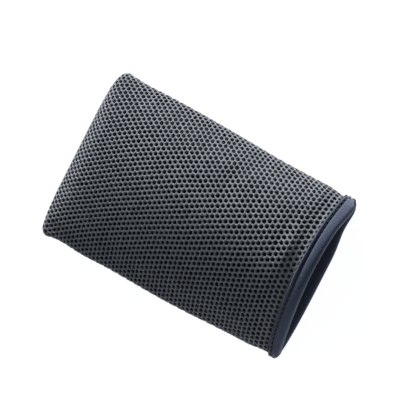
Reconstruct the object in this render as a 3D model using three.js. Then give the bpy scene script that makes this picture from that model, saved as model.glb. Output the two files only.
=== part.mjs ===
// A fingerless car wash mitt, lying palm down with its cuff open and its inside filled out.
// Millimetres. X runs from the fingertip edge to the cuff, Y across the mitt, Z up from the palm.
import * as THREE from "three";

// Driving dimensions
const LENGTH = 234; // fingertip edge to the lip of the cuff
const TIP_HALF_WIDTH = 75.6;
const CUFF_HALF_WIDTH = 67;
const TAPER_FROM = 42; // the sides draw in between these distances from the fingertip edge
const TAPER_TO = 249;
const CORNER = 10; // radius of the two fingertip corners, seen from above
const CUFF_OFFSET = 3.3; // the cuff's middle lies this far towards +Y of the fingertips' middle
const LIP_SLANT = 1.5; // the lip is this much further from the fingertips at the -Y side
const SEAM_HEIGHT = 9.5; // side seam above the surface that the palm lies on
const TIP_TWIST = -0.04; // rise of the seam per millimetre towards +Y, at the fingertips
const CUFF_TWIST = 0.035; // and at the cuff
const BACK_ROLL = 6.6; // radius with which the back turns down into the side seam
const PALM_ROLL = 13; // width over which the palm turns up into the side seam
const CROWN_START = 8; // height that the back gains just behind the fingertip edge
const CROWN_RUN = 9; // distance over which it gains it
const CROWN_SLOPE = 0.097; // and its steady rise from there to the cuff
const TIP_LEAN = 0.55; // share by which the crown leans towards +Y, at the fingertips
const CUFF_LEAN = 0.36; // and at the cuff
const BINDING_WIDTH = 11; // of the tape, outside the cuff
const BINDING_INSIDE = 9; // and inside it
const CUFF_BLEND = 17; // length over which the wall thins before it enters the binding
const FOAM_END = 34; // the foam and the seam allowance stop this far short of the lip
const SEAM_GAP = 0.15; // half of the gap between the two panels at the side seam
const THREAD_RADIUS = 0.3;

// A layer's face is given by its inset from the mitt's outline and its depth below the outer face,
// each for the body of the mitt and for the stretch inside the binding.
const FACES = {
  meshOut: { inset: 0, depth: 0, cuff: 1.9 },
  meshIn: { inset: 2.6, depth: 2.6, cuff: 2.9 },
  foamOut: { inset: 9, depth: 2.9, cuff: 2.9 },
  foamIn: { inset: 11, depth: 4.9, cuff: 4.9 },
  liningOut: { inset: 11.3, depth: 5.2, cuff: 3.2 },
  liningIn: { inset: 11.9, depth: 5.8, cuff: 3.8 },
};

const COLOURS = {
  mesh: [0x6f747c, 0.85],
  foam: [0x3a3d44, 0.95],
  lining: [0x191c26, 0.8],
  binding: [0x36405c, 0.7],
  thread: [0x2b3450, 0.6],
};

const smooth = (t) => {
  const c = Math.min(Math.max(t, 0), 1);
  return c * c * (3 - 2 * c);
};
const mix = (a, b, t) => a + (b - a) * t;
const along = (d) => Math.min(Math.max(d / LENGTH, 0), 1);

const halfWidth = (d) =>
  mix(TIP_HALF_WIDTH, CUFF_HALF_WIDTH, smooth((d - TAPER_FROM) / (TAPER_TO - TAPER_FROM)));

// Half width of the outline, inset all round, at distance d from the fingertip edge.
function rowHalfWidth(d, inset) {
  const r = Math.max(CORNER - inset, 1);
  const short = Math.max(r - (d - inset), 0);
  return halfWidth(d) - inset - r + Math.sqrt(Math.max(r * r - short * short, 0));
}

// Distance in from the inset outline: to the nearer straight edge, or to the corner's arc.
function edgeDistance(d, y, inset) {
  const r = Math.max(CORNER - inset, 1);
  const fromTip = d - inset;
  const fromSide = halfWidth(d) - inset - Math.abs(y);
  if (fromTip < r && fromSide < r) return r - Math.hypot(r - fromTip, r - fromSide);
  return Math.min(fromTip, fromSide);
}

// A quarter circle's rise, 0 at the outline and 1 from one radius in.
function roll(distance, radius) {
  const q = Math.min(Math.max(distance / radius, 0), 1);
  return Math.sqrt(1 - (1 - q) * (1 - q));
}

const seamHeight = (d, y) => SEAM_HEIGHT + mix(TIP_TWIST, CUFF_TWIST, along(d)) * y;

// The back's swell over the hand: it grows from the fingertips to the cuff, and leans to one side.
function crown(d, y, inset) {
  const run = Math.max(d - inset, 0);
  const u = Math.min(Math.max(y / (halfWidth(d) - inset), -1), 1);
  const height = CROWN_START * (1 - Math.exp(-run / CROWN_RUN)) + CROWN_SLOPE * run;
  return height * (1 - u * u) * (1 + mix(TIP_LEAN, CUFF_LEAN, along(d)) * u);
}

const backHeight = (d, y, inset, depth) =>
  seamHeight(d, y) +
  SEAM_GAP +
  (BACK_ROLL - depth) * roll(edgeDistance(d, y, inset), BACK_ROLL - depth) +
  crown(d, y, inset);

const palmHeight = (d, y, inset, depth) =>
  mix(
    seamHeight(d, y) - SEAM_GAP,
    depth,
    roll(edgeDistance(d, y, inset), PALM_ROLL - Math.min(inset, 8)),
  );

// The mitt is sheared a little: its rows slant towards the lip, and its middle drifts towards +Y.
function placed(d, y, z) {
  const slant = LIP_SLANT * (y / halfWidth(d)) * smooth(2 * along(d) - 1);
  return new THREE.Vector3(d - slant - LENGTH / 2, y + CUFF_OFFSET * along(d), z);
}

// A point of the back or the palm: u runs from -1 to 1 across, d is the distance from the fingertips.
function wallPoint(side, u, d, inset, depth) {
  const y = u * rowHalfWidth(d, inset);
  const height = side === "back" ? backHeight : palmHeight;
  return placed(d, y, height(d, y, inset, depth));
}

// The share of the way from the body of the mitt into the binding.
const intoCuff = (d) => smooth((d - (LENGTH - BINDING_WIDTH - CUFF_BLEND)) / CUFF_BLEND);

function facePoint(side, face, u, d) {
  const t = intoCuff(d);
  return wallPoint(side, u, d, mix(face.inset, face.cuff, t), mix(face.depth, face.cuff, t));
}

// Distances from the fingertip edge at which a layer has its rows: close together where it rolls
// over the fingertips and where it enters the binding.
function rowDistances(inset, end) {
  const rows = [0, 0.6, 2.2, 4.6, 8, 13, 21, 34].map((d) => inset + d);
  const bodyEnd = Math.min(end, LENGTH - BINDING_WIDTH - CUFF_BLEND);
  const steps = 6;
  for (let i = 1; i <= steps; i++) rows.push(mix(inset + 34, bodyEnd, i / steps));
  const cuff = [0.35, 0.7, 1].map((t) => mix(bodyEnd, LENGTH - BINDING_WIDTH, t));
  if (end > bodyEnd + 1) rows.push(...cuff, end);
  return rows;
}

// Columns across, closer together towards both sides.
const ACROSS = 22;
const columnAt = (i) => Math.sin((Math.PI / 2) * ((2 * i) / ACROSS - 1));

// A mesh from a grid of points that closes on itself in neither direction, plus its skin order.
function solidFromFaces(top, bottom) {
  const rows = top.length;
  const cols = top[0].length;
  const points = [...top.flat(), ...bottom.flat()];
  const at = (layer, i, j) => layer * rows * cols + i * cols + j;
  const index = [];
  const quad = (a, b, c, d) => index.push(a, b, c, a, c, d);
  for (let i = 0; i + 1 < rows; i++)
    for (let j = 0; j + 1 < cols; j++) {
      quad(at(0, i, j), at(0, i + 1, j), at(0, i + 1, j + 1), at(0, i, j + 1));
      quad(at(1, i, j), at(1, i, j + 1), at(1, i + 1, j + 1), at(1, i + 1, j));
    }
  const wall = (i, j, k, l) => quad(at(0, i, j), at(0, k, l), at(1, k, l), at(1, i, j));
  for (let j = 0; j + 1 < cols; j++) {
    wall(0, j, 0, j + 1);
    wall(rows - 1, j + 1, rows - 1, j);
  }
  for (let i = 0; i + 1 < rows; i++) {
    wall(i + 1, 0, i, 0);
    wall(i, cols - 1, i + 1, cols - 1);
  }
  return geometryFrom(points, index);
}

function geometryFrom(points, index) {
  const geometry = new THREE.BufferGeometry().setFromPoints(points);
  geometry.setIndex(index);
  geometry.computeVertexNormals();
  return geometry;
}

function faceGrid(side, face, distances) {
  return distances.map((d) =>
    Array.from({ length: ACROSS + 1 }, (_, i) => facePoint(side, face, columnAt(i), d)),
  );
}

// One layer of one side of the mitt, between an outer and an inner face.
function layer(side, outer, inner, end) {
  const out = faceGrid(side, outer, rowDistances(outer.inset, end));
  const inn = faceGrid(side, inner, rowDistances(inner.inset, end));
  return side === "back" ? solidFromFaces(out, inn) : solidFromFaces(inn, out);
}

// Stations round the mouth: across the back from +Y to -Y, and home across the palm.
function mouthStations() {
  const back = Array.from({ length: ACROSS + 1 }, (_, i) => ["back", -columnAt(i)]);
  const palm = Array.from({ length: ACROSS - 1 }, (_, i) => ["palm", columnAt(i + 1)]);
  return [...back, ...palm];
}

// A closed section carried round a loop or along an open path; each ring is a list of points.
function sweep(rings, closed) {
  const sides = rings[0].length;
  const index = [];
  const last = closed ? rings.length : rings.length - 1;
  for (let i = 0; i < last; i++)
    for (let j = 0; j < sides; j++) {
      const k = (j + 1) % sides;
      const a = i * sides;
      const b = ((i + 1) % rings.length) * sides;
      index.push(a + j, b + j, b + k, a + j, b + k, a + k);
    }
  if (!closed) {
    const end = (rings.length - 1) * sides;
    for (let j = 1; j + 1 < sides; j++) {
      index.push(0, j, j + 1);
      index.push(end, end + j + 1, end + j);
    }
  }
  return geometryFrom(rings.flat(), index);
}

// The tape's section: distance from the lip, and depth below the mitt's outer face. From the lip the
// outer leg runs back to a sewn groove and the folded edge; the inner leg is plain.
const TAPE_SECTION = [
  [BINDING_WIDTH, 0.9],
  [BINDING_WIDTH - 0.5, 0.1],
  [BINDING_WIDTH - 1.5, 0.1],
  [BINDING_WIDTH - 2.4, 1.05],
  [BINDING_WIDTH - 3.4, 0.1],
  [1.8, 0],
  [0.5, 0.9],
  [0, 2.5],
  [0.5, 4.2],
  [1.8, 5.1],
  [BINDING_INSIDE, 5.1],
  [BINDING_INSIDE, 4.1],
  [1.6, 4.1],
  [1.6, 1.6],
  [BINDING_WIDTH, 1.6],
];

function bindingTape() {
  const rings = mouthStations().map(([side, u]) =>
    TAPE_SECTION.map(([fromLip, depth]) => wallPoint(side, u, LENGTH - fromLip, depth, depth)),
  );
  return sweep(rings, true);
}

// A row of thread laid round the mouth, as a small closed section.
function mouthThread(fromLip, depth) {
  const sides = 6;
  const rings = mouthStations().map(([side, u]) =>
    Array.from({ length: sides }, (_, j) => {
      const a = (2 * Math.PI * j) / sides;
      const sunk = depth - THREAD_RADIUS * Math.sin(a);
      const d = LENGTH - fromLip - THREAD_RADIUS * Math.cos(a);
      return wallPoint(side, u, d, sunk, sunk);
    }),
  );
  return sweep(rings, true);
}

// The seam's route, inset from the outline: up one side, round the fingertips, down the other.
function seamRoute(inset) {
  const end = LENGTH - FOAM_END;
  const r = Math.max(CORNER - inset, 1);
  const route = [];
  const straight = 12;
  for (let i = 0; i < straight; i++) route.push([mix(end, inset + r, i / straight), 1]);
  const turn = 5;
  for (let i = 0; i <= turn; i++) route.push([inset + r * (1 - Math.sin((Math.PI / 2) * (i / turn))), 1]);
  const onSide = route.map(([d, s]) => new THREE.Vector2(d, s * rowHalfWidth(d, inset)));
  const otherSide = onSide.map((p) => new THREE.Vector2(p.x, -p.y)).reverse();
  return [...onSide, ...otherSide];
}

// The sewn edges of the two panels, turned in: a strip between two insets, about the seam's height.
const ALLOWANCE = { from: 3.4, to: 8.4, thickness: 1.2 };

function seamAllowance() {
  const outer = seamRoute(ALLOWANCE.from);
  const inner = seamRoute(ALLOWANCE.to);
  const half = ALLOWANCE.thickness / 2;
  const rings = outer.map((o, i) => {
    const corner = (p, rise) => placed(p.x, p.y, seamHeight(p.x, p.y) + rise);
    return [corner(o, half), corner(inner[i], half), corner(inner[i], -half), corner(o, -half)];
  });
  return sweep(rings, false);
}

// The seam's thread lies on the allowance.
function seamThread() {
  const sides = 6;
  const radius = 0.4;
  const near = seamRoute(5);
  const far = seamRoute(5 + radius);
  const rise = ALLOWANCE.thickness / 2 + 0.3 + radius;
  const rings = near.map((p, i) =>
    Array.from({ length: sides }, (_, j) => {
      const a = (-2 * Math.PI * j) / sides;
      const plan = p.clone().lerp(far[i], Math.cos(a));
      const z = seamHeight(p.x, p.y) + rise + radius * Math.sin(a);
      return placed(plan.x, plan.y, z);
    }),
  );
  return sweep(rings, false);
}

const group = new THREE.Group();

function add(name, geometry, [color, roughness]) {
  const material = new THREE.MeshStandardMaterial({ color, roughness, metalness: 0 });
  const mesh = new THREE.Mesh(geometry, material);
  mesh.name = name;
  group.add(mesh);
}

const wallEnd = LENGTH - 1.9;
const foamEnd = LENGTH - FOAM_END;
for (const side of ["back", "palm"]) {
  add(`${side}_air_mesh`, layer(side, FACES.meshOut, FACES.meshIn, wallEnd), COLOURS.mesh);
  add(`${side}_foam_pad`, layer(side, FACES.foamOut, FACES.foamIn, foamEnd), COLOURS.foam);
  add(`${side}_lining`, layer(side, FACES.liningOut, FACES.liningIn, wallEnd), COLOURS.lining);
}
add("side_seam_allowance", seamAllowance(), COLOURS.mesh);
add("side_seam_thread", seamThread(), COLOURS.thread);
add("cuff_binding", bindingTape(), COLOURS.binding);
add("binding_outer_thread", mouthThread(BINDING_WIDTH - 2.4, 0.45), COLOURS.thread);
add("binding_inner_thread", mouthThread(BINDING_INSIDE - 2, 5.7), COLOURS.thread);

// The footprint is centred on the origin.
const { min, max } = new THREE.Box3().setFromObject(group);
group.position.set(-(min.x + max.x) / 2, -(min.y + max.y) / 2, 0);

export default group;
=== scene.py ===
"""Looks of a padded car wash mitt: two panels of holed air mesh over foam and lining, and a bound cuff.

Lengths are in millimetres and become metres when a mesh is made. X runs from the fingertip edge to
the cuff, Y across the mitt and Z up from the palm, as in the CAD frame.
"""

import bpy
import numpy as np
from mathutils import Matrix, Vector


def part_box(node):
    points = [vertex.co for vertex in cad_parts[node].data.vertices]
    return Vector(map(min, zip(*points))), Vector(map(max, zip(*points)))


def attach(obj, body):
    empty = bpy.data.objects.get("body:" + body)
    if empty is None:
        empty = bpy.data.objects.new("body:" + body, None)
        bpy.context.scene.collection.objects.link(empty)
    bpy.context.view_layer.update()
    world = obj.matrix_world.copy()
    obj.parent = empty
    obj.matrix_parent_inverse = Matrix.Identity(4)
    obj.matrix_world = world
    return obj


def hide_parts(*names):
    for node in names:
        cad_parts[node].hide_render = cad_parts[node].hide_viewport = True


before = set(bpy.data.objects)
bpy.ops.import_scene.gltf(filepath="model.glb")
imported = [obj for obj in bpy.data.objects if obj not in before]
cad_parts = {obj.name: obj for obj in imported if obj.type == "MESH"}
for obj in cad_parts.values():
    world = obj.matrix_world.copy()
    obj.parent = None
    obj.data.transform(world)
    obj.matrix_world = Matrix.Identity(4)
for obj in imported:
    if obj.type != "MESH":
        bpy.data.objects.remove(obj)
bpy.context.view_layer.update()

# Outline and section of the mitt
LENGTH = 234.0
TIP_HALF_WIDTH, CUFF_HALF_WIDTH = 75.6, 67.0
TAPER_FROM, TAPER_TO = 42.0, 249.0
CORNER = 10.0
CUFF_OFFSET, LIP_SLANT = 3.3, 1.5
SEAM_HEIGHT, TIP_TWIST, CUFF_TWIST = 9.5, -0.04, 0.035
BACK_ROLL, PALM_ROLL = 6.6, 13.0
CROWN_START, CROWN_RUN, CROWN_SLOPE = 8.0, 9.0, 0.097
TIP_LEAN, CUFF_LEAN = 0.55, 0.36
BINDING_WIDTH, BINDING_INSIDE, CUFF_BLEND = 11.0, 9.0, 17.0
SEAM_GAP = 0.15
FOAM_END = 34.0  # how far the foam and the seam allowance stop short of the lip
TIP_BEND = 13.0  # length over which the mitt rolls over its fingertips

# How the worn cloth is pulled off true, in mm: (along, across) for the corners, across for the sides
LOW_CORNER, HIGH_CORNER = (1.6, -2.9), (1.4, 2.2)  # a fingertip corner at -Y and at +Y
LOW_TIP, HIGH_TIP = (1.6, -1.3), (1.6, 0.0)  # the last of those corners
CUFF_FLARE = 2.3
SIDE_FULLNESS = ((-1.4, 142, 68), (-1.1, 46, 32))  # how much, at what distance, and half its length

# A layer's face: inset from the outline, depth below the outer face, and both inside the binding.
# The backing is the air mesh's inner face, a thin knit sheet between its pile and the foam.
MESH_OUT, MESH_IN = (0.0, 0.0, 1.9), (2.6, 2.6, 2.9)
BACKING_OUT, BACKING_IN = (2.1, 2.1, 2.75), (2.55, 2.55, 2.88)
FOAM_OUT, FOAM_IN = (9.0, 2.9, 2.9), (11.0, 4.9, 4.9)
LINING_OUT, LINING_IN = (11.3, 5.2, 3.2), (11.9, 5.8, 3.8)

# The air mesh: a hexagonal lattice of holes, its rows across the mitt
PITCH = 4.459  # from hole to hole
PHASE_ACROSS, PHASE_ALONG = 3.35, 118.89  # where one hole of the back lies on the flat panel
GRAIN_TURN = 0.0232  # radians by which the rows are off square
RIM_RADIUS = 0.274  # of a hole, in pitches
MESH_THICKNESS = 2.6

# Stitching
OUTER_ROW, INNER_ROW = BINDING_WIDTH - 2.4, BINDING_INSIDE - 2.0  # from the lip
CUFF_STITCHES, SEAM_STITCHES = 72, 126
ROUTE_STEPS, HALF_STITCH = 40, 17  # steps of the route per stitch, and half a stitch's length in them
SEAM_ROW = 5.0  # from the outline

# The simulated bag
SIM_SCALE = 0.01  # mm to the solver's units
SWELL_CAP = 1.6
LAST_FRAME = 20


def smooth(t):
    t = np.clip(t, 0.0, 1.0)
    return t * t * (3 - 2 * t)


def mix(a, b, t):
    return a + (b - a) * t


def unit(v):
    return v / np.maximum(np.linalg.norm(v, axis=-1, keepdims=True), 1e-9)


# ---------------------------------------------------------------- the mitt's shape


def half_width(d):
    return mix(TIP_HALF_WIDTH, CUFF_HALF_WIDTH, smooth((d - TAPER_FROM) / (TAPER_TO - TAPER_FROM)))


def corner_radius(inset):
    return np.maximum(CORNER - inset, 1.0)


def row_half_width(d, inset):
    """Half width of the inset outline at distance d from the fingertip edge, r being its corner radius:
    w(d) = W(d) - inset - r + sqrt(r^2 - max(r - (d - inset), 0)^2)."""
    r = corner_radius(inset)
    short = np.maximum(r - (d - inset), 0)
    return half_width(d) - inset - r + np.sqrt(np.maximum(r * r - short * short, 0))


def edge_distance(d, y, inset):
    r = corner_radius(inset)
    tip = d - inset
    side = half_width(d) - inset - np.abs(y)
    round_corner = r - np.hypot(r - tip, r - side)
    return np.where((tip < r) & (side < r), round_corner, np.minimum(tip, side))


def roll(distance, radius):
    q = np.clip(distance / radius, 0, 1)
    return np.sqrt(1 - (1 - q) ** 2)


def seam_height(d, y):
    return SEAM_HEIGHT + mix(TIP_TWIST, CUFF_TWIST, np.clip(d / LENGTH, 0, 1)) * y


def crown(d, y, inset):
    """The swell over the hand: h = (A (1 - exp(-run / l)) + B run) (1 - u^2) (1 + lean u)."""
    run = np.maximum(d - inset, 0)
    u = np.clip(y / (half_width(d) - inset), -1, 1)
    height = CROWN_START * (1 - np.exp(-run / CROWN_RUN)) + CROWN_SLOPE * run
    return height * (1 - u * u) * (1 + mix(TIP_LEAN, CUFF_LEAN, np.clip(d / LENGTH, 0, 1)) * u)


def askew(d, y):
    """How far the cloth is pulled off true, along and across: both fingertip corners blunted and
    pushed outwards, the +Y side flared towards the cuff, the -Y side a little full in two places."""
    corner, tip = smooth(1 - d / 34), smooth(1 - d / 20)
    pulls = (
        (LOW_CORNER, corner * smooth((-y - 38) / 34)),
        (HIGH_CORNER, corner * smooth((y - 38) / 34)),
        (LOW_TIP, tip * smooth((-y - 56) / 16)),
        (HIGH_TIP, tip * smooth((y - 56) / 16)),
    )
    along_by = sum(pull[0] * share for pull, share in pulls)
    across_by = sum(pull[1] * share for pull, share in pulls)
    across_by = across_by + CUFF_FLARE * smooth((d - 150) / 95) * smooth((y - 10) / 60)
    for most, middle, reach in SIDE_FULLNESS:
        across_by = across_by + most * smooth(1 - np.abs(d - middle) / reach) * smooth((-y - 10) / 60)
    return along_by, across_by


def placed(d, y, z):
    """The mitt's own (d, y, z) sheared towards +Y along it, and pulled askew."""
    along = np.clip(d / LENGTH, 0, 1)
    slant = LIP_SLANT * (y / half_width(d)) * smooth(2 * along - 1)
    pull_along, pull_across = askew(d, y)
    return np.stack([d - slant - LENGTH / 2 + pull_along, y + CUFF_OFFSET * along + pull_across, z], -1)


def wall(back, u, d, inset, depth):
    """Points of the back (back true) or the palm: u in -1..1 across, d from the fingertip edge."""
    u, d, inset, depth, back = np.broadcast_arrays(u, d, inset, depth, back)
    y = u * row_half_width(d, inset)
    edge = edge_distance(d, y, inset)
    over = (
        seam_height(d, y)
        + SEAM_GAP
        + (BACK_ROLL - depth) * roll(edge, np.maximum(BACK_ROLL - depth, 0.1))
        + crown(d, y, inset)
    )
    turn = roll(edge, PALM_ROLL - np.minimum(inset, 8))
    under = mix(seam_height(d, y) - SEAM_GAP, depth, turn)
    return placed(d, y, np.where(back, over, under)) + SHIFT


def face_point(back, face, u, d):
    t = smooth((d - (LENGTH - BINDING_WIDTH - CUFF_BLEND)) / CUFF_BLEND)
    inset, depth, cuff = face
    return wall(back, u, d, mix(inset, cuff, t), mix(depth, cuff, t)) + swell(back, u, d)


SHIFT = np.zeros(3)
SWELL = {}


def swell(back, u, d):
    """The soft unevenness of the cloth at (u, d), read bilinearly from the simulated bag's grid."""
    field = SWELL.get(bool(back))
    if field is None:
        return 0.0
    u, d = np.broadcast_arrays(u, d)
    rows, cols = field.shape[:2]
    row, column = np.clip(d / LENGTH, 0, 1) * (rows - 1), (np.clip(u, -1, 1) + 1) / 2 * (cols - 1)
    return bilinear(field, row, column)


def bilinear(grid, i, j):
    """grid at fractional indices: (1-a)(1-b) g00 + a (1-b) g10 + (1-a) b g01 + a b g11."""
    i = np.clip(i, 0, grid.shape[0] - 1.000001)
    j = np.clip(j, 0, grid.shape[1] - 1.000001)
    i0, j0 = i.astype(int), j.astype(int)
    a, b = i - i0, j - j0
    if grid.ndim == 3:
        a, b = a[..., None], b[..., None]
    low = grid[i0, j0] * (1 - b) + grid[i0, j0 + 1] * b
    high = grid[i0 + 1, j0] * (1 - b) + grid[i0 + 1, j0 + 1] * b
    return low * (1 - a) + high * a


def across(count):
    """Columns from -1 to 1 that close up towards both sides: sin(pi/2 x)."""
    return np.sin(np.linspace(-np.pi / 2, np.pi / 2, count))


def from_tip(first, end, count):
    """Distances from first to end that are close together where the mitt rolls over its fingertips."""
    bend = first + TIP_BEND * (1 - np.cos(np.linspace(0, np.pi / 2, 16)))
    return np.concatenate([bend, np.linspace(bend[-1], end, count)[1:]])


def centre_on_cad():
    """Moves the formulas by the same footprint shift as the CAD part, read from the palm's box."""
    low, high = (np.array(c) * 1000 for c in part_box("palm_air_mesh"))
    own = face_point(False, MESH_OUT, across(201)[None], np.linspace(0, LENGTH - 1.9, 400)[:, None])
    own = own.reshape(-1, 3)
    middle = (low + high) / 2 - (own.min(0) + own.max(0)) / 2
    SHIFT[:2] = middle[:2]


centre_on_cad()


# ---------------------------------------------------------------- how the bag really lies


def bag_mesh(rows, cols):
    """The closed outer bag on a coarse grid: back and palm share the seam, a wall closes the mouth."""
    u, d = np.linspace(-1, 1, cols)[None], np.linspace(0, LENGTH, rows)[:, None]
    back, palm = face_point(True, MESH_OUT, u, d), face_point(False, MESH_OUT, u, d)
    top = np.arange(rows * cols).reshape(rows, cols)
    low = top + rows * cols
    low[0], low[:, 0], low[:, -1] = top[0], top[:, 0], top[:, -1]
    quads = []
    for grid, turn in ((top, 1), (low, -1)):
        four = np.stack([grid[:-1, :-1], grid[1:, :-1], grid[1:, 1:], grid[:-1, 1:]], -1).reshape(-1, 4)
        quads += four[:, ::turn].tolist()
    quads += [[top[-1, j + 1], top[-1, j], low[-1, j], low[-1, j + 1]] for j in range(cols - 1)]
    faces = [list(dict.fromkeys(int(k) for k in q)) for q in quads]
    return back, palm, top, low, [f for f in faces if len(f) > 2]


def simulate_bag(rows=50, cols=35):
    """Blows the bag up a little as cloth that is 2 % too big for its seams, and keeps its unevenness.

    The seam, the cuff and the palm's flat middle are pinned. Of the movement m the mitt takes
    C tanh((m - 0.8 blur(m)) / C), C being SWELL_CAP and blur the average over about 25 mm.
    """
    back, palm, top, low, faces = bag_mesh(rows, cols)
    rest = np.concatenate([back.reshape(-1, 3), palm.reshape(-1, 3)])
    mesh = bpy.data.meshes.new("bag")
    mesh.from_pydata((rest * SIM_SCALE).tolist(), [], faces)
    bag = bpy.data.objects.new("bag", mesh)
    bpy.context.scene.collection.objects.link(bag)
    pin = bag.vertex_groups.new(name="pin")
    held = np.concatenate([top[0], top[:, 0], top[:, -1], top[-5:].ravel(), low[-5:].ravel()])
    flat = low.ravel()[palm[..., 2].ravel() < 0.8]
    pin.add([int(k) for k in np.unique(np.concatenate([held, flat]))], 1.0, "REPLACE")
    cloth = bag.modifiers.new("cloth", "CLOTH")
    cloth.settings.vertex_group_mass = "pin"
    cloth.settings.quality = 6
    cloth.settings.mass = 0.2
    cloth.settings.tension_stiffness = cloth.settings.compression_stiffness = 12
    cloth.settings.bending_stiffness = 0.4
    cloth.settings.use_pressure = True
    cloth.settings.uniform_pressure_force = 1.5
    cloth.settings.shrink_min = -0.02
    cloth.settings.effector_weights.gravity = 0
    cloth.point_cache.frame_start, cloth.point_cache.frame_end = 1, LAST_FRAME
    for number in range(1, LAST_FRAME + 1):
        bpy.context.scene.frame_set(number)
    shaped = bag.evaluated_get(bpy.context.evaluated_depsgraph_get()).to_mesh()
    moved = np.empty(len(shaped.vertices) * 3, np.float32)
    shaped.vertices.foreach_get("co", moved)
    bpy.context.scene.frame_set(1)
    bpy.data.objects.remove(bag)
    moved = moved.reshape(-1, 3)[: len(rest)] / SIM_SCALE - rest
    for is_back, grid in ((True, top), (False, low)):
        SWELL[is_back] = cap_swell(moved[grid])


def cap_swell(moved):
    moved = blurred(moved, 1)
    uneven = moved - 0.8 * blurred(moved, 14)
    size = np.linalg.norm(uneven, axis=-1, keepdims=True)
    return uneven * np.tanh(size / SWELL_CAP) * SWELL_CAP / np.maximum(size, 1e-6)


def blurred(field, times):
    """The mean of the four neighbours and the point itself, taken again and again; the rim stays."""
    field = field.copy()
    for _ in range(times):
        inner = field[1:-1, 1:-1] + field[:-2, 1:-1] + field[2:, 1:-1]
        field[1:-1, 1:-1] = (inner + field[1:-1, :-2] + field[1:-1, 2:]) / 5
    return field


simulate_bag()


# ---------------------------------------------------------------- making meshes


def make_mesh(name, points, faces, material, uv=None, values=None):
    """A mesh object at the origin from points in mm and an (n, k) face array, smooth shaded."""
    mesh = bpy.data.meshes.new(name)
    count, corners = faces.shape
    mesh.vertices.add(len(points))
    mesh.vertices.foreach_set("co", (np.asarray(points) * 0.001).astype(np.float32).ravel())
    mesh.loops.add(count * corners)
    mesh.loops.foreach_set("vertex_index", faces.astype(np.int32).ravel())
    mesh.polygons.add(count)
    mesh.polygons.foreach_set("loop_start", np.arange(0, count * corners, corners, dtype=np.int32))
    mesh.polygons.foreach_set("use_smooth", np.ones(count, dtype=bool))
    mesh.update(calc_edges=True)
    if uv is not None:
        layer = mesh.uv_layers.new(name="flat")
        layer.data.foreach_set("uv", uv[faces.ravel()].astype(np.float32).ravel())
    for key, value in (values or {}).items():
        attribute = mesh.attributes.new(key, "FLOAT", "POINT")
        attribute.data.foreach_set("value", value.astype(np.float32))
    mesh.validate()
    mesh.materials.append(material)
    obj = bpy.data.objects.new(name, mesh)
    bpy.context.scene.collection.objects.link(obj)
    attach(obj, "root")
    return obj


def grid_faces(rows, cols, wrap_rows=False, wrap_cols=False):
    """Quads (i,j) (i+1,j) (i+1,j+1) (i,j+1) of a grid of points, wrapped where it closes on itself."""
    i = np.arange(rows if wrap_rows else rows - 1)[:, None]
    j = np.arange(cols if wrap_cols else cols - 1)[None]
    i2, j2 = (i + 1) % rows, (j + 1) % cols
    corners = i * cols + j, i2 * cols + j, i2 * cols + j2, i * cols + j2
    return np.stack(np.broadcast_arrays(*corners), -1).reshape(-1, 4)


def shell(top, bottom):
    """Two equal grids of points joined round their edges into one closed body, top facing out."""
    rows, cols = top.shape[:2]
    n = rows * cols
    index = np.arange(n).reshape(rows, cols)
    up = grid_faces(rows, cols)
    rim = np.concatenate([index[0], index[1:, -1], index[-1, :-1][::-1], index[1:-1, 0][::-1]])
    following = np.roll(rim, -1)
    sides = np.stack([rim, following, following + n, rim + n], -1)
    points = np.concatenate([top.reshape(-1, 3), bottom.reshape(-1, 3)])
    return points, np.concatenate([up, up[:, ::-1] + n, sides])


# ---------------------------------------------------------------- a panel of cloth, laid flat


def inward(points):
    """Level unit vectors square to the outline: towards the middle from a side or the fingertip edge,
    and towards the corner's own centre from the arc of a fingertip corner."""
    d = points[:, 0] - SHIFT[0] + LENGTH / 2
    y = points[:, 1] - SHIFT[1] - CUFF_OFFSET * np.clip(d / LENGTH, 0, 1)
    pull_along, pull_across = askew(d, y)
    d, y = d - pull_along, y - pull_across
    tip, side = CORNER - d, CORNER - half_width(d) + np.abs(y)
    way = np.stack([np.maximum(tip, 0), -np.sign(y) * np.maximum(side, 0), 0 * y], -1)
    return unit(way)


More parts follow.
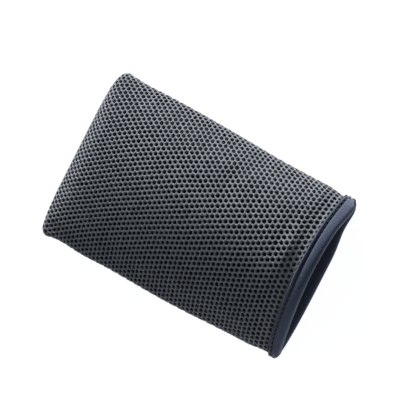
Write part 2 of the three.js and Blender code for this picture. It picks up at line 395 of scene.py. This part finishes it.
class Panel:
    """One side of the mitt unrolled: flat coordinates s across and t along, to points and normals.

    s is the arc length across a row from the middle column, and t the length along the columns,
    measured square to the rows and set to LENGTH at the lip. Past the side seam the cloth folds
    sharply in and runs level, so that both panels' edges lie against each other inside the mitt;
    near the cuff, where the wall is thin, it is trimmed shorter.
    """

    STEP = 1.0

    def __init__(self, back):
        self.back = back
        u, d = across(121)[None], from_tip(0.0, LENGTH, 140)[:, None]
        self.points = face_point(back, MESH_OUT, u, d)
        under = face_point(back, MESH_IN, u, d)
        run_across = np.gradient(self.points, axis=1)
        run_along = np.gradient(self.points, axis=0)
        normal = unit(np.cross(run_along, run_across))
        self.normals = normal if back else -normal
        reach = np.sum((self.points - under) * self.normals, -1)
        self.room = np.clip(reach / MESH_THICKNESS, 0.35, 1.0)
        self.s, self.t = self.flat_lengths()
        self.resample()

    def flat_lengths(self):
        p = self.points
        step = np.linalg.norm(np.diff(p, axis=1), axis=2)
        s = np.concatenate([np.zeros((len(p), 1)), np.cumsum(step, 1)], 1)
        s -= s[:, s.shape[1] // 2][:, None]
        tangent = unit(np.gradient(p, axis=1))
        down = np.diff(p, axis=0)
        level = (tangent[1:] + tangent[:-1]) / 2
        down = down - np.sum(down * level, -1, keepdims=True) * level
        step = np.linalg.norm(down, axis=2)
        t = np.concatenate([np.zeros((1, p.shape[1])), np.cumsum(step, 0)], 0)
        return s, t - t[-1:] + LENGTH

    def find(self, s, t):
        """Fractional grid indices (i, j) of flat points, by turns across a row and along a column."""
        rows, cols = self.s.shape
        i = np.interp(t, self.t[:, cols // 2], np.arange(rows))
        j = np.interp(s, self.s[rows // 2], np.arange(cols))
        n = np.arange(len(s))
        for _ in range(7):
            i0 = np.clip(i.astype(int), 0, rows - 2)
            a = np.clip(i - i0, 0, 1)[:, None]
            line = self.s[i0] * (1 - a) + self.s[i0 + 1] * a
            k = np.clip((line < s[:, None]).sum(1) - 1, 0, cols - 2)
            j = np.clip(k + (s - line[n, k]) / (line[n, k + 1] - line[n, k]), 0, cols - 1)
            j0 = np.clip(j.astype(int), 0, cols - 2)
            b = j - j0
            line = self.t[:, j0] * (1 - b) + self.t[:, j0 + 1] * b
            k = np.clip((line < t[None]).sum(0) - 1, 0, rows - 2)
            i = np.clip(k + (t - line[k, n]) / (line[k + 1, n] - line[k, n]), 0, rows - 1)
        return i, j

    def resample(self):
        """Tables of point, normal, room and overshoot on a regular flat grid, STEP apart."""
        self.s0, self.t0 = self.s.min() - 8, self.t.min() - 8
        width = int((self.s.max() + 8 - self.s0) / self.STEP) + 2
        length = int((LENGTH + 2 - self.t0) / self.STEP) + 2
        lines_t, lines_s = self.t0 + self.STEP * np.arange(length), self.s0 + self.STEP * np.arange(width)
        t, s = np.meshgrid(lines_t, lines_s, indexing="ij")
        shape = s.shape
        s, t = s.ravel(), t.ravel()
        i, j = self.find(s, t)
        point, normal = bilinear(self.points, i, j), unit(bilinear(self.normals, i, j))
        over_s = s - bilinear(self.s, i, j)
        over_t = np.minimum(t - bilinear(self.t, i, j), 0)
        over = np.hypot(np.where(np.abs(over_s) > 0.05, over_s, 0), np.where(over_t < -0.05, over_t, 0))
        down = np.array([0, 0, -1.0 if self.back else 1.0])
        tuck = over * mix(1.0, 0.3, smooth((t - LENGTH + 50) / 25))
        point = point + inward(point) * tuck[:, None]
        bend = smooth(over / 1.2)[:, None]
        normal = unit(normal * (1 - bend) + down * bend)
        room = mix(bilinear(self.room, i, j), 1.0, bend[:, 0])
        self.table = np.concatenate([point, normal, room[:, None], over[:, None]], 1).reshape(*shape, 8)

    def look(self, s, t):
        return bilinear(self.table, (t - self.t0) / self.STEP, (s - self.s0) / self.STEP)

    def lay(self, s, t, depth):
        """Points at flat (s, t), sunk depth below the outer face (in mm of the full thickness)."""
        found = self.look(s, t)
        points = found[..., :3] - found[..., 3:6] * (depth * found[..., 6])[..., None]
        if not self.back:
            points[..., 2] = np.maximum(points[..., 2], 0.02)
        return points


# ---------------------------------------------------------------- the air mesh's face


def lattice(panel, margin):
    """Hole centres in flat coordinates: rows PITCH sqrt(3)/2 apart, every other one set over by half."""
    rows = np.arange(-70, 71)[:, None]
    cols = np.arange(-45, 46)[None]
    s = PHASE_ACROSS + PITCH * (cols + 0.5 * (rows % 2))
    t = PHASE_ALONG + PITCH * np.sqrt(0.75) * rows + 0 * cols
    s, t = s.ravel(), t.ravel()
    turned = on_grain(s, t)
    found = panel.look(*turned)
    keep = (found[:, 7] < margin) & (turned[1] < LENGTH - 9) & (turned[1] > panel.t0 + 3)
    keep &= np.abs(turned[0]) < -panel.s0 - 3
    return s[keep], t[keep]


def on_grain(s, t):
    """Where the knit's own (s, t) lies on the cut panel: turned a little, then bowed and skewed.

    With a = s / 80 and b = (t - 118) / 118, the knit bows by up to about 4 mm each way, as quadratics
    and cubics of a and b, and two slow waves add a fifth of a millimetre.
    """
    c, k = np.cos(GRAIN_TURN), np.sin(GRAIN_TURN)
    s, t = s * c - (t - 118) * k, s * k + (t - 118) * c
    a, b = np.clip(s / 80, -1.1, 1.1), np.clip(t / 118, -1.1, 1.1)
    ds = 0.9 + 0.7 * a - 2.45 * b - 0.65 * a**2 - 3.0 * b**2 - 1.65 * a**3 + 2.7 * b**3
    dt = -0.7 - 1.8 * a + 0.9 * b + 3.55 * a**2 - 2.0 * a * b - 2.6 * a**2 * b
    ds += 0.15 * np.sin(s / 9 + 1.3 * np.sin(t / 17))
    dt += 0.15 * np.sin(t / 8 + 1.1 * np.sin(s / 15))
    return s + ds, t + dt + 118


def cell_rings(s, t, rng):
    """Twelve-sided rings of every cell, from the shared ridge to the rim of the hole and back beneath.

    The ridge is the hexagon round a hole: radius PITCH/sqrt(3) at its corners and PITCH/2 midway.
    Returns flat points (cells, rings, 12, 2) and their depths.
    """
    angle = np.radians(30 * np.arange(12))
    ridge = np.where(np.arange(12) % 2, PITCH / np.sqrt(3), PITCH / 2)
    ring = np.stack([np.cos(angle), np.sin(angle)], -1)
    size = RIM_RADIUS * PITCH * (1 + 0.06 * rng.standard_normal((len(s), 1, 1)))
    long = 1 + 0.05 * rng.standard_normal((len(s), 1, 1))
    rim = size * ring * np.concatenate([long, 1 / long], -1)
    rim = rim + 0.09 * rng.standard_normal((len(s), 1, 2))
    outer = np.broadcast_to(ridge[:, None] * ring, rim.shape)
    shoulder = outer * 0.45 + rim * 0.55
    flat = np.stack([outer, shoulder, rim, outer], 1) + np.stack([s, t], -1)[:, None, None]
    depth = np.empty(flat.shape[:-1])
    depth[:, 0] = np.where(np.arange(12) % 2, 0.0, 0.26)
    depth[:, 1] = np.where(np.arange(12) % 2, 0.42, 0.5)
    depth[:, 2] = 1.4
    depth[:, 3] = 2.0
    return flat, depth


def air_mesh(name, panel, material, seed):
    """The holed face: rings of each cell joined to one closed net, its ridges shared by neighbours."""
    rng = np.random.default_rng(seed)
    s, t = lattice(panel, 0.4 * PITCH)
    flat, depth = cell_rings(s, t, rng)
    shared_key = np.round(flat[:, [0, 3]].reshape(-1, 2) * 50).astype(np.int64)
    layer = np.tile(np.repeat([0, 1], 12), len(s))
    key = (shared_key[:, 0] * 1_000_003 + shared_key[:, 1]) * 2 + layer
    _, first, inverse = np.unique(key, return_index=True, return_inverse=True)
    inverse = inverse.reshape(len(s), 2, 12)
    own = len(first) + np.arange(len(s) * 24).reshape(len(s), 2, 12)
    index = np.stack([inverse[:, 0], own[:, 0], own[:, 1], inverse[:, 1]], 1)
    points_flat = np.concatenate([flat[:, [0, 3]].reshape(-1, 2)[first], flat[:, 1:3].reshape(-1, 2)])
    sunk = np.concatenate([depth[:, [0, 3]].reshape(-1)[first], depth[:, 1:3].reshape(-1)])
    sunk = sunk + 0.05 * rng.standard_normal(len(sunk)) * (sunk > 0)
    nxt = np.roll(index, -1, axis=2)
    faces = np.stack([index[:, :-1], nxt[:, :-1], nxt[:, 1:], index[:, 1:]], -1).reshape(-1, 4)
    faces = close_border(faces, len(first), inverse)
    points = panel.lay(*on_grain(*points_flat.T), sunk)
    if panel.back:
        faces = faces[:, ::-1]
    # The depths also go to the material as the 'sunk' attribute, from which it paints shade into the
    # holes.
    return make_mesh(name, points, faces, material, uv=points_flat, values={"sunk": sunk})


def close_border(faces, shared, inverse):
    """Adds side walls where the net ends: ridge edges used by one cell only, joined top to under."""
    top, under = inverse[:, 0], inverse[:, 1]
    a, b = top.ravel(), np.roll(top, -1, 1).ravel()
    c, d = under.ravel(), np.roll(under, -1, 1).ravel()
    low, high = np.minimum(a, b), np.maximum(a, b)
    _, first, count = np.unique(low * np.int64(shared) + high, return_index=True, return_counts=True)
    only = first[count == 1]
    walls = np.stack([b[only], a[only], c[only], d[only]], -1)
    return np.concatenate([faces, walls])


# ---------------------------------------------------------------- materials


def node_group(name, inputs, outputs):
    group = bpy.data.node_groups.new(name, "ShaderNodeTree")
    for key, kind in inputs:
        group.interface.new_socket(name=key, in_out="INPUT", socket_type=kind)
    for key, kind in outputs:
        group.interface.new_socket(name=key, in_out="OUTPUT", socket_type=kind)
    return group, group.nodes.new("NodeGroupInput"), group.nodes.new("NodeGroupOutput")


def math(tree, operation, *values, clamp=False):
    node = tree.nodes.new("ShaderNodeMath")
    node.operation = operation
    node.use_clamp = clamp
    for socket, value in zip(node.inputs, values):
        if isinstance(value, (int, float)):
            socket.default_value = value
        else:
            tree.links.new(value, socket)
    return node.outputs[0]


def knit_group():
    """Height of a warp knit in flat millimetres: V-shaped loops in columns along the cloth."""
    group, into, out = node_group(
        "knit",
        [("Flat", "NodeSocketVector"), ("Size", "NodeSocketFloat")],
        [("Height", "NodeSocketFloat")],
    )
    split = group.nodes.new("ShaderNodeSeparateXYZ")
    group.links.new(into.outputs["Flat"], split.inputs[0])
    column = math(group, "DIVIDE", split.outputs[0], into.outputs["Size"])
    course = math(group, "DIVIDE", split.outputs[1], into.outputs["Size"])
    side = math(group, "ABSOLUTE", math(group, "SUBTRACT", math(group, "FRACT", column), 0.5))
    slope = math(group, "ADD", course, math(group, "MULTIPLY", side, 1.5))
    loop = math(group, "SINE", math(group, "MULTIPLY", slope, 6.2832))
    groove = math(group, "SINE", math(group, "MULTIPLY", math(group, "FRACT", column), 3.1416))
    height = math(group, "ADD", math(group, "MULTIPLY", loop, 0.5), groove)
    group.links.new(height, out.inputs["Height"])
    return group


def twill_group():
    """Height and tone of a woven tape: diagonal cords of fine yarn, in flat millimetres."""
    group, into, out = node_group(
        "twill",
        [("Flat", "NodeSocketVector")],
        [("Height", "NodeSocketFloat"), ("Tone", "NodeSocketFloat")],
    )
    split = group.nodes.new("ShaderNodeSeparateXYZ")
    group.links.new(into.outputs["Flat"], split.inputs[0])
    diagonal = math(group, "ADD", split.outputs[0], math(group, "MULTIPLY", split.outputs[1], 1.1))
    cord = math(group, "SINE", math(group, "MULTIPLY", diagonal, 6.2832 / 1.7))
    yarn = math(group, "SINE", math(group, "MULTIPLY", split.outputs[0], 6.2832 / 0.36))
    pick = math(group, "SINE", math(group, "MULTIPLY", split.outputs[1], 6.2832 / 0.42))
    height = math(group, "ADD", cord, math(group, "MULTIPLY", math(group, "MULTIPLY", yarn, pick), 0.5))
    tone = math(group, "ADD", math(group, "MULTIPLY", cord, 0.22), 0.6)
    group.links.new(height, out.inputs["Height"])
    group.links.new(tone, out.inputs["Tone"])
    return group


KNIT, TWILL = knit_group(), twill_group()


class Cloth:
    """A cloth material: Principled with sheen, a bump from flat millimetres and a mottled colour."""

    def __init__(self, name, dark, light, roughness=0.8, sheen=0.2):
        self.material = bpy.data.materials.new(name)
        self.material.use_nodes = True
        self.tree = self.material.node_tree
        self.shader = self.tree.nodes["Principled BSDF"]
        self.shader.inputs["Roughness"].default_value = roughness
        self.shader.inputs["Specular IOR Level"].default_value = 0.25
        self.shader.inputs["Sheen Weight"].default_value = sheen
        self.shader.inputs["Sheen Roughness"].default_value = 0.5
        self.mix = self.tree.nodes.new("ShaderNodeMix")
        self.mix.data_type = "RGBA"
        self.mix.inputs["A"].default_value = (*dark, 1)
        self.mix.inputs["B"].default_value = (*light, 1)
        self.tree.links.new(self.mix.outputs["Result"], self.shader.inputs["Base Color"])
        self.height = None

    def flat(self):
        node = self.tree.nodes.new("ShaderNodeUVMap")
        node.uv_map = "flat"
        return node.outputs["UV"]

    def place(self):
        return self.tree.nodes.new("ShaderNodeTexCoord").outputs["Object"]

    def noise(self, vector, scale, detail=3.0):
        node = self.tree.nodes.new("ShaderNodeTexNoise")
        node.inputs["Scale"].default_value = scale
        node.inputs["Detail"].default_value = detail
        self.tree.links.new(vector, node.inputs["Vector"])
        return node.outputs["Fac"]

    def value(self, name):
        node = self.tree.nodes.new("ShaderNodeAttribute")
        node.attribute_name = name
        return node.outputs["Fac"]

    def use_group(self, group, **inputs):
        node = self.tree.nodes.new("ShaderNodeGroup")
        node.node_tree = group
        for key, value in inputs.items():
            if isinstance(value, float):
                node.inputs[key].default_value = value
            else:
                self.tree.links.new(value, node.inputs[key])
        return node.outputs

    def tint(self, factor):
        self.tree.links.new(factor, self.mix.inputs["Factor"])

    def bump(self, height, distance, strength=1.0):
        node = self.tree.nodes.new("ShaderNodeBump")
        node.inputs["Distance"].default_value = distance * 0.001
        node.inputs["Strength"].default_value = strength
        self.tree.links.new(height, node.inputs["Height"])
        if self.height is not None:
            self.tree.links.new(self.height, node.inputs["Normal"])
        self.height = node.outputs["Normal"]
        self.tree.links.new(self.height, self.shader.inputs["Normal"])


def mesh_cloth():
    # The first colour is the painted shade of the holes' depths, the second the yarn's own colour.
    cloth = Cloth("air_mesh_yarn", (0.008, 0.009, 0.012), (0.150, 0.160, 0.182), 0.75, 0.15)
    knit = cloth.use_group(KNIT, Flat=cloth.flat(), Size=0.74)
    cloth.bump(knit["Height"], 0.10)
    # Painted shade: the yarn's colour falls from its own grey towards near black with depth below the
    # ridge, read from the 'sunk' attribute, so the holes' walls and the strands' undersides are painted
    # as dark as the shade in the holes.
    sunk = math(cloth.tree, "POWER", math(cloth.tree, "DIVIDE", cloth.value("sunk"), 1.68), 2.0)
    sunk = math(cloth.tree, "SUBTRACT", 1.0, sunk, clamp=True)
    fleck = cloth.noise(cloth.place(), 900.0)
    fleck = math(cloth.tree, "ADD", 0.72, math(cloth.tree, "MULTIPLY", fleck, 0.45))
    cloth.tint(math(cloth.tree, "MULTIPLY", sunk, fleck, clamp=True))
    return cloth.material


def plain_cloth(name, dark, light, bump_scale, bump_depth, roughness=0.85, sheen=0.15):
    cloth = Cloth(name, dark, light, roughness, sheen)
    cloth.tint(cloth.noise(cloth.place(), 400.0))
    cloth.bump(cloth.noise(cloth.place(), bump_scale), bump_depth)
    return cloth.material


def tape_cloth():
    cloth = Cloth("binding_tape", (0.008, 0.012, 0.027), (0.044, 0.060, 0.112), 0.85, 0.25)
    twill = cloth.use_group(TWILL, Flat=cloth.flat())
    cloth.tint(twill["Tone"])
    cloth.bump(twill["Height"], 0.07)
    return cloth.material


def thread_cloth():
    cloth = Cloth("sewing_thread", (0.004, 0.006, 0.014), (0.014, 0.02, 0.042), 0.5, 0.2)
    cloth.tint(cloth.noise(cloth.place(), 1500.0))
    return cloth.material


MESH_YARN = mesh_cloth()
# The backing is near black, far darker than the face yarn: partly its own dark colour, partly painted
# shade that keeps the holes dark.
MESH_BACKING = plain_cloth(
    "air_mesh_backing", (0.008, 0.009, 0.012), (0.026, 0.028, 0.036), 1600.0, 0.12
)
FOAM = plain_cloth("sheet_foam", (0.03, 0.031, 0.036), (0.07, 0.072, 0.08), 700.0, 0.3, 0.95, 0.0)
# The lining is near black: partly its own dark colour, partly painted shade, darkened to stand for the
# shade inside the mouth.
LINING = plain_cloth("lining_knit", (0.005, 0.006, 0.009), (0.015, 0.017, 0.024), 1200.0, 0.1)
TAPE = tape_cloth()
THREAD = thread_cloth()


# ---------------------------------------------------------------- layers under the mesh


def layer(name, back, outer, inner, end, material, cols=61, rows=90):
    """A sheet of cloth or foam between two faces of a panel, closed all round."""
    u = across(cols)[None]
    outs = face_point(back, outer, u, from_tip(outer[0], end, rows)[:, None])
    ins = face_point(back, inner, u, from_tip(inner[0], end, rows)[:, None])
    points, faces = shell(outs, ins) if back else shell(ins, outs)
    return make_mesh(name, points, faces, material)


# ---------------------------------------------------------------- the bound cuff


def mouth_route(count):
    """(back, u) at equal steps round the mouth: across the back from +Y to -Y, home across the palm."""
    fine = across(801)
    back = np.concatenate([np.ones(801, bool), np.zeros(801, bool)])
    u = np.concatenate([-fine, fine])
    ring = wall(back, u, LENGTH - 4.0, 2.0, 2.0)
    step = np.linalg.norm(np.diff(ring, axis=0, append=ring[:1]), axis=1)
    length = np.concatenate([[0], np.cumsum(step)])
    want = np.arange(count) / count * length[-1]
    k = np.interp(want, length[:-1], np.arange(1602))
    is_back = k < 800.5
    column = np.where(is_back, np.minimum(k, 800), np.maximum(k, 801))
    return is_back, np.interp(column, np.arange(1602), u), want, length[-1]


# The tape's section from its folded edge over the outside, round the lip and back along the inside:
# distance from the lip, and depth below the mitt's outer face.
TAPE_OUTSIDE = [
    (9.6, 1.62), (10.6, 1.55), (11.05, 1.1), (11.1, 0.4), (10.8, -0.15), (10.2, -0.42), (9.7, -0.35),
    (9.35, 0.1), (9.1, 0.9), (8.6, 1.4), (8.0, 1.3), (7.5, 0.7), (7.0, 0.2), (6.4, -0.15), (5.6, -0.38),
    (4.5, -0.45), (3.4, -0.36), (2.4, -0.12), (1.5, 0.28), (0.75, 0.85), (0.25, 1.6), (0.0, 2.5),
]  # fmt: skip
TAPE_INSIDE = [
    (0.12, 3.3), (0.55, 4.1), (1.2, 4.7), (2.1, 5.05), (3.4, 5.22), (5.0, 5.25), (6.2, 5.15), (6.8, 5.0),
    (7.2, 5.0), (7.8, 5.15), (8.5, 5.2), (8.95, 5.0), (9.05, 4.6), (8.9, 4.2), (8.0, 4.1), (5.0, 4.1),
    (2.6, 3.95), (1.75, 3.3), (1.55, 2.6), (1.75, 1.95), (2.6, 1.66), (5.0, 1.62), (7.5, 1.62),
]  # fmt: skip


def cuff_tape(count=620):
    """The tape swept round the mouth, its ends lapped over each other at one side seam."""
    back, u, along, whole = mouth_route(count)
    section = np.array(TAPE_OUTSIDE + TAPE_INSIDE)
    from_lip, depth = section[:, 0][None], section[:, 1][None]
    outside = (np.arange(len(section)) < len(TAPE_OUTSIDE))[None]
    lap = lap_height(along, whole)[:, None] * outside
    from_lip = narrowed(from_lip, back[:, None], u[:, None])
    wave = 0.10 * np.sin(along * 2 * np.pi * 9 / whole) + 0.06 * np.sin(along * 2 * np.pi * 23 / whole)
    from_lip = from_lip + wave[:, None] * (from_lip > 9)
    depth = depth - lap * np.clip(depth < 1.6, 0, 1)
    points = wall(back[:, None], u[:, None], LENGTH - from_lip, np.abs(depth), depth)
    points[..., 2] = np.maximum(points[..., 2], 0.0)
    cut = np.concatenate([[0], np.cumsum(np.linalg.norm(np.diff(section, axis=0), axis=1))])
    uv = np.stack(np.broadcast_arrays(along[:, None], cut[None]), -1)
    faces = grid_faces(count, len(section), wrap_rows=True, wrap_cols=True)
    return make_mesh("cuff_tape", points.reshape(-1, 3), faces, TAPE, uv=uv.reshape(-1, 2))


def narrowed(from_lip, back, u):
    """The tape draws in where it turns round the side seams, its lip rounded and its -Y hem coming up.

    With a the way round the rolled edge from the seam, the lip dips by r (1 - smooth(a / l)), which
    fades out towards the hem; the palm's half of the tape lies 2 to 3 mm further back at its ends.
    """
    high = smooth(u + 0.5)
    edge = (1 - np.abs(u)) * CUFF_HALF_WIDTH
    around = BACK_ROLL * np.arccos(1 - np.clip(edge / BACK_ROLL, 0, 1))
    dip = mix(3.5, 5.4, high) * (1 - smooth(around / mix(8, 10, high))) - 1.6 * smooth((u - 0.6) / 0.3)
    dip = dip * smooth(1.15 - from_lip / 8)
    further = 2.6 * smooth((u - 0.3) / 0.5) + 2.3 * np.clip(-u, 0, 1) ** 3
    dip = dip + np.where(back, 0, smooth(edge / 5) * further)
    return dip + from_lip * (1 - mix(0.25, 0.05, high) * smooth((np.abs(u) - 0.65) / 0.35))


def lap_height(along, whole):
    """Extra thickness where the tape's ends overlap: a step up at the folded end, a slow run out."""
    x = np.where(along > whole / 2, along - whole, along)
    return 0.65 * smooth((x + 5.0) / 0.7) * smooth((8.0 - x) / 4.0)


def stitches(name, from_lip, depth, count, hide=0.75, radius=0.33):
    """A row of lockstitches round the mouth: each an arch of thread that dives at both ends.

    Along a stitch, x = -1..1, the thread sinks by hide * x^4 and has radius r * sqrt(1 - 0.4 x^4).
    """
    sides, steps = 6, 7
    x = np.linspace(-1, 1, steps)
    ring = 2 * np.pi * np.arange(sides) / sides
    back, u, _, _ = mouth_route(count * ROUTE_STEPS)
    middle = np.arange(count)[:, None] * ROUTE_STEPS
    at = (middle + np.round(x * HALF_STITCH).astype(int)[None]) % (count * ROUTE_STEPS)
    thick = radius * np.sqrt(1 - 0.4 * x**4)
    sunk = depth + hide * x**4
    lip = narrowed(from_lip, back[at][..., None], u[at][..., None]) + thick[:, None] * np.cos(ring)
    down = sunk[:, None] - thick[:, None] * np.sin(ring)
    points = wall(back[at][..., None], u[at][..., None], LENGTH - lip, np.abs(down)[None], down[None])
    points[..., 2] = np.maximum(points[..., 2], 0.0)
    faces = tube_faces(steps, sides)
    each = steps * sides
    faces = faces[None] + each * np.arange(count)[:, None, None]
    return make_mesh(name, points.reshape(-1, 3), faces.reshape(-1, 4), THREAD)


def tube_faces(steps, sides):
    """Quads of a short tube, its two ends closed by a fan of quads over a hexagon."""
    body = grid_faces(steps, sides, wrap_cols=True)
    end = (steps - 1) * sides
    caps = np.array([[0, 1, 2, 3], [0, 3, 4, 5]])
    return np.concatenate([body, caps, caps[:, [0, 3, 2, 1]] + end])


# ---------------------------------------------------------------- the side seam, inside


def seam_route(inset, count):
    """(d, y) along the outline at that inset: down one side, round the fingertips, up the other."""
    end = LENGTH - FOAM_END
    r = float(corner_radius(inset))
    straight = np.linspace(end, inset + r, 400)
    bend = inset + r * (1 - np.sin(np.linspace(0, np.pi / 2, 60)[1:]))
    d = np.concatenate([straight, bend])
    y = row_half_width(d, inset)
    d, y = np.concatenate([d, d[::-1]]), np.concatenate([y, -y[::-1]])
    length = np.concatenate([[0], np.cumsum(np.hypot(np.diff(d), np.diff(y)))])
    want = np.linspace(0, length[-1], count)
    return np.interp(want, length, d), np.interp(want, length, y)


def seam_point(d, y, rise):
    return placed(d, y, seam_height(d, y) + rise) + SHIFT


def seam_allowance(count=300):
    """The two panels' cut edges, turned in and sewn: a flat strip of two plies, closed all round."""
    top = np.array([(3.4, 0.6), (5.0, 0.62), (8.3, 0.6), (8.4, 0.1)])  # inset and height over the seam
    section = np.concatenate([top, top[::-1] * (1, -1)])
    points = np.stack([seam_point(*seam_route(inset, count), rise) for inset, rise in section], 1)
    faces = grid_faces(count, len(section), wrap_cols=True)
    caps = np.array([[0, 1, 6, 7], [1, 2, 5, 6], [2, 3, 4, 5]])
    faces = np.concatenate([faces, caps, caps[:, ::-1] + (count - 1) * len(section)])
    return make_mesh("seam_allowance", points.reshape(-1, 3), faces, MESH_BACKING)


def seam_stitches(inset, count, radius=0.36, steps=7, sides=6):
    """The side seam's row of lockstitches on the allowance: each an arch, x = -1..1 along it, that
    sinks by 0.5 x^4 into the cloth and has radius r sqrt(1 - 0.4 x^4)."""
    x = np.linspace(-1, 1, steps)
    ring = 2 * np.pi * np.arange(sides) / sides
    d, y = seam_route(inset, count * ROUTE_STEPS)
    d2, y2 = seam_route(inset + 1, count * ROUTE_STEPS)
    middle = np.arange(count)[:, None] * ROUTE_STEPS + ROUTE_STEPS // 2
    at = middle + np.round(x * HALF_STITCH).astype(int)[None]
    thick = (radius * np.sqrt(1 - 0.4 * x**4))[:, None]
    over = 0.62 + radius - 0.5 * x[:, None] ** 4 + thick * np.sin(ring)
    off = thick * np.cos(ring)
    d = d[at][..., None] + off * (d2 - d)[at][..., None]
    y = y[at][..., None] + off * (y2 - y)[at][..., None]
    points = seam_point(d, y, over)
    faces = tube_faces(steps, sides)[None, :, ::-1] + steps * sides * np.arange(count)[:, None, None]
    return make_mesh("side_seam_stitches", points.reshape(-1, 3), faces.reshape(-1, 4), THREAD)


# ---------------------------------------------------------------- build

back_net = air_mesh("back_net", Panel(True), MESH_YARN, 7)
palm_net = air_mesh("palm_net", Panel(False), MESH_YARN, 11)
back_backing = layer("back_net_backing", True, BACKING_OUT, BACKING_IN, LENGTH - 7, MESH_BACKING)
palm_backing = layer("palm_net_backing", False, BACKING_OUT, BACKING_IN, LENGTH - 7, MESH_BACKING)
back_foam = layer("back_foam", True, FOAM_OUT, FOAM_IN, LENGTH - FOAM_END, FOAM)
palm_foam = layer("palm_foam", False, FOAM_OUT, FOAM_IN, LENGTH - FOAM_END, FOAM)
back_lining = layer("back_lining_cloth", True, LINING_OUT, LINING_IN, LENGTH - 6.5, LINING)
palm_lining = layer("palm_lining_cloth", False, LINING_OUT, LINING_IN, LENGTH - 6.5, LINING)
tape = cuff_tape()
outer_stitches = stitches("cuff_stitches_outside", OUTER_ROW, 0.62, CUFF_STITCHES)
inner_stitches = stitches("cuff_stitches_inside", INNER_ROW, 5.55, CUFF_STITCHES, hide=-0.7, radius=0.3)
allowance = seam_allowance()
side_stitches = seam_stitches(SEAM_ROW, SEAM_STITCHES)

for piece, node in (
    (back_net, "back_air_mesh"),
    (palm_net, "palm_air_mesh"),
    (back_foam, "back_foam_pad"),
    (palm_foam, "palm_foam_pad"),
    (back_lining, "back_lining"),
    (palm_lining, "palm_lining"),
    (tape, "cuff_binding"),
    (outer_stitches, "binding_outer_thread"),
    (inner_stitches, "binding_inner_thread"),
    (allowance, "side_seam_allowance"),
    (side_stitches, "side_seam_thread"),
):
    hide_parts(node)


# ---------------------------------------------------------------- camera, floor and light


def add_camera():
    """Looks down on the back of the hand, with the fingertip edge at the upper left of the view."""
    target, distance = np.array([13.39, 12.29, 14.65]) + SHIFT, 610.32
    azimuth, elevation, tilt = np.radians([19.786, 68.653, -81.229])
    level = np.array([np.cos(azimuth), np.sin(azimuth), 0])
    out = np.cos(elevation) * level + np.array([0, 0, np.sin(elevation)])
    right = unit(np.cross(-out, [0, 0, 1.0]))
    up = np.cross(right, -out)
    side = right * np.cos(tilt) + up * np.sin(tilt)
    top = -right * np.sin(tilt) + up * np.cos(tilt)
    data = bpy.data.cameras.new("camera")
    data.sensor_width = 36.0
    data.lens = 67.06
    camera = bpy.data.objects.new("camera", data)
    turn = Matrix([[side[k], top[k], out[k]] for k in range(3)]).to_4x4()
    camera.matrix_world = Matrix.Translation(Vector((target + distance * out) * 0.001)) @ turn
    bpy.context.scene.collection.objects.link(camera)
    bpy.context.scene.camera = camera


def add_floor():
    mesh = bpy.data.meshes.new("floor")
    half, drop = 6, -0.0004  # metres
    corners = [(-half, -half, drop), (half, -half, drop), (half, half, drop), (-half, half, drop)]
    mesh.from_pydata(corners, [], [(0, 1, 2, 3)])
    floor = bpy.data.objects.new("floor", mesh)
    material = bpy.data.materials.new("pale_floor")
    material.use_nodes = True
    shader = material.node_tree.nodes["Principled BSDF"]
    shader.inputs["Base Color"].default_value = (0.25, 0.25, 0.25, 1)
    shader.inputs["Roughness"].default_value = 0.9
    shader.inputs["Emission Color"].default_value = (1, 1, 1, 1)
    shader.inputs["Emission Strength"].default_value = 0.93
    mesh.materials.append(material)
    bpy.context.scene.collection.objects.link(floor)


def add_light(name, direction, distance, size, power):
    data = bpy.data.lights.new(name, "AREA")
    data.shape = "DISK"
    data.size = size
    data.energy = power
    light = bpy.data.objects.new(name, data)
    direction = Vector(direction).normalized()
    light.location = direction * distance
    light.rotation_mode = "QUATERNION"
    light.rotation_quaternion = direction.to_track_quat("Z", "Y")
    bpy.context.scene.collection.objects.link(light)


def add_world():
    """A dim cool sky for the light it gives, and white where it is seen."""
    world = bpy.data.worlds.new("studio")
    world.use_nodes = True
    tree = world.node_tree
    background = tree.nodes["Background"]
    seen = tree.nodes.new("ShaderNodeLightPath").outputs["Is Camera Ray"]
    colour = tree.nodes.new("ShaderNodeMix")
    colour.data_type = "RGBA"
    colour.inputs["A"].default_value = (0.80, 0.92, 1.0, 1)
    colour.inputs["B"].default_value = (1, 1, 1, 1)
    tree.links.new(seen, colour.inputs["Factor"])
    tree.links.new(colour.outputs["Result"], background.inputs["Color"])
    strength = math(tree, "ADD", math(tree, "MULTIPLY", seen, 0.78), 0.22)
    tree.links.new(strength, background.inputs["Strength"])
    bpy.context.scene.world = world


add_camera()
add_floor()
add_light("key", (-0.72, 0.80, 0.14), 1.4, 0.6, 70)
add_light("fill", (0.45, -0.86, 0.2), 1.6, 1.0, 10)
add_world()
bpy.context.scene.view_settings.view_transform = "Standard"
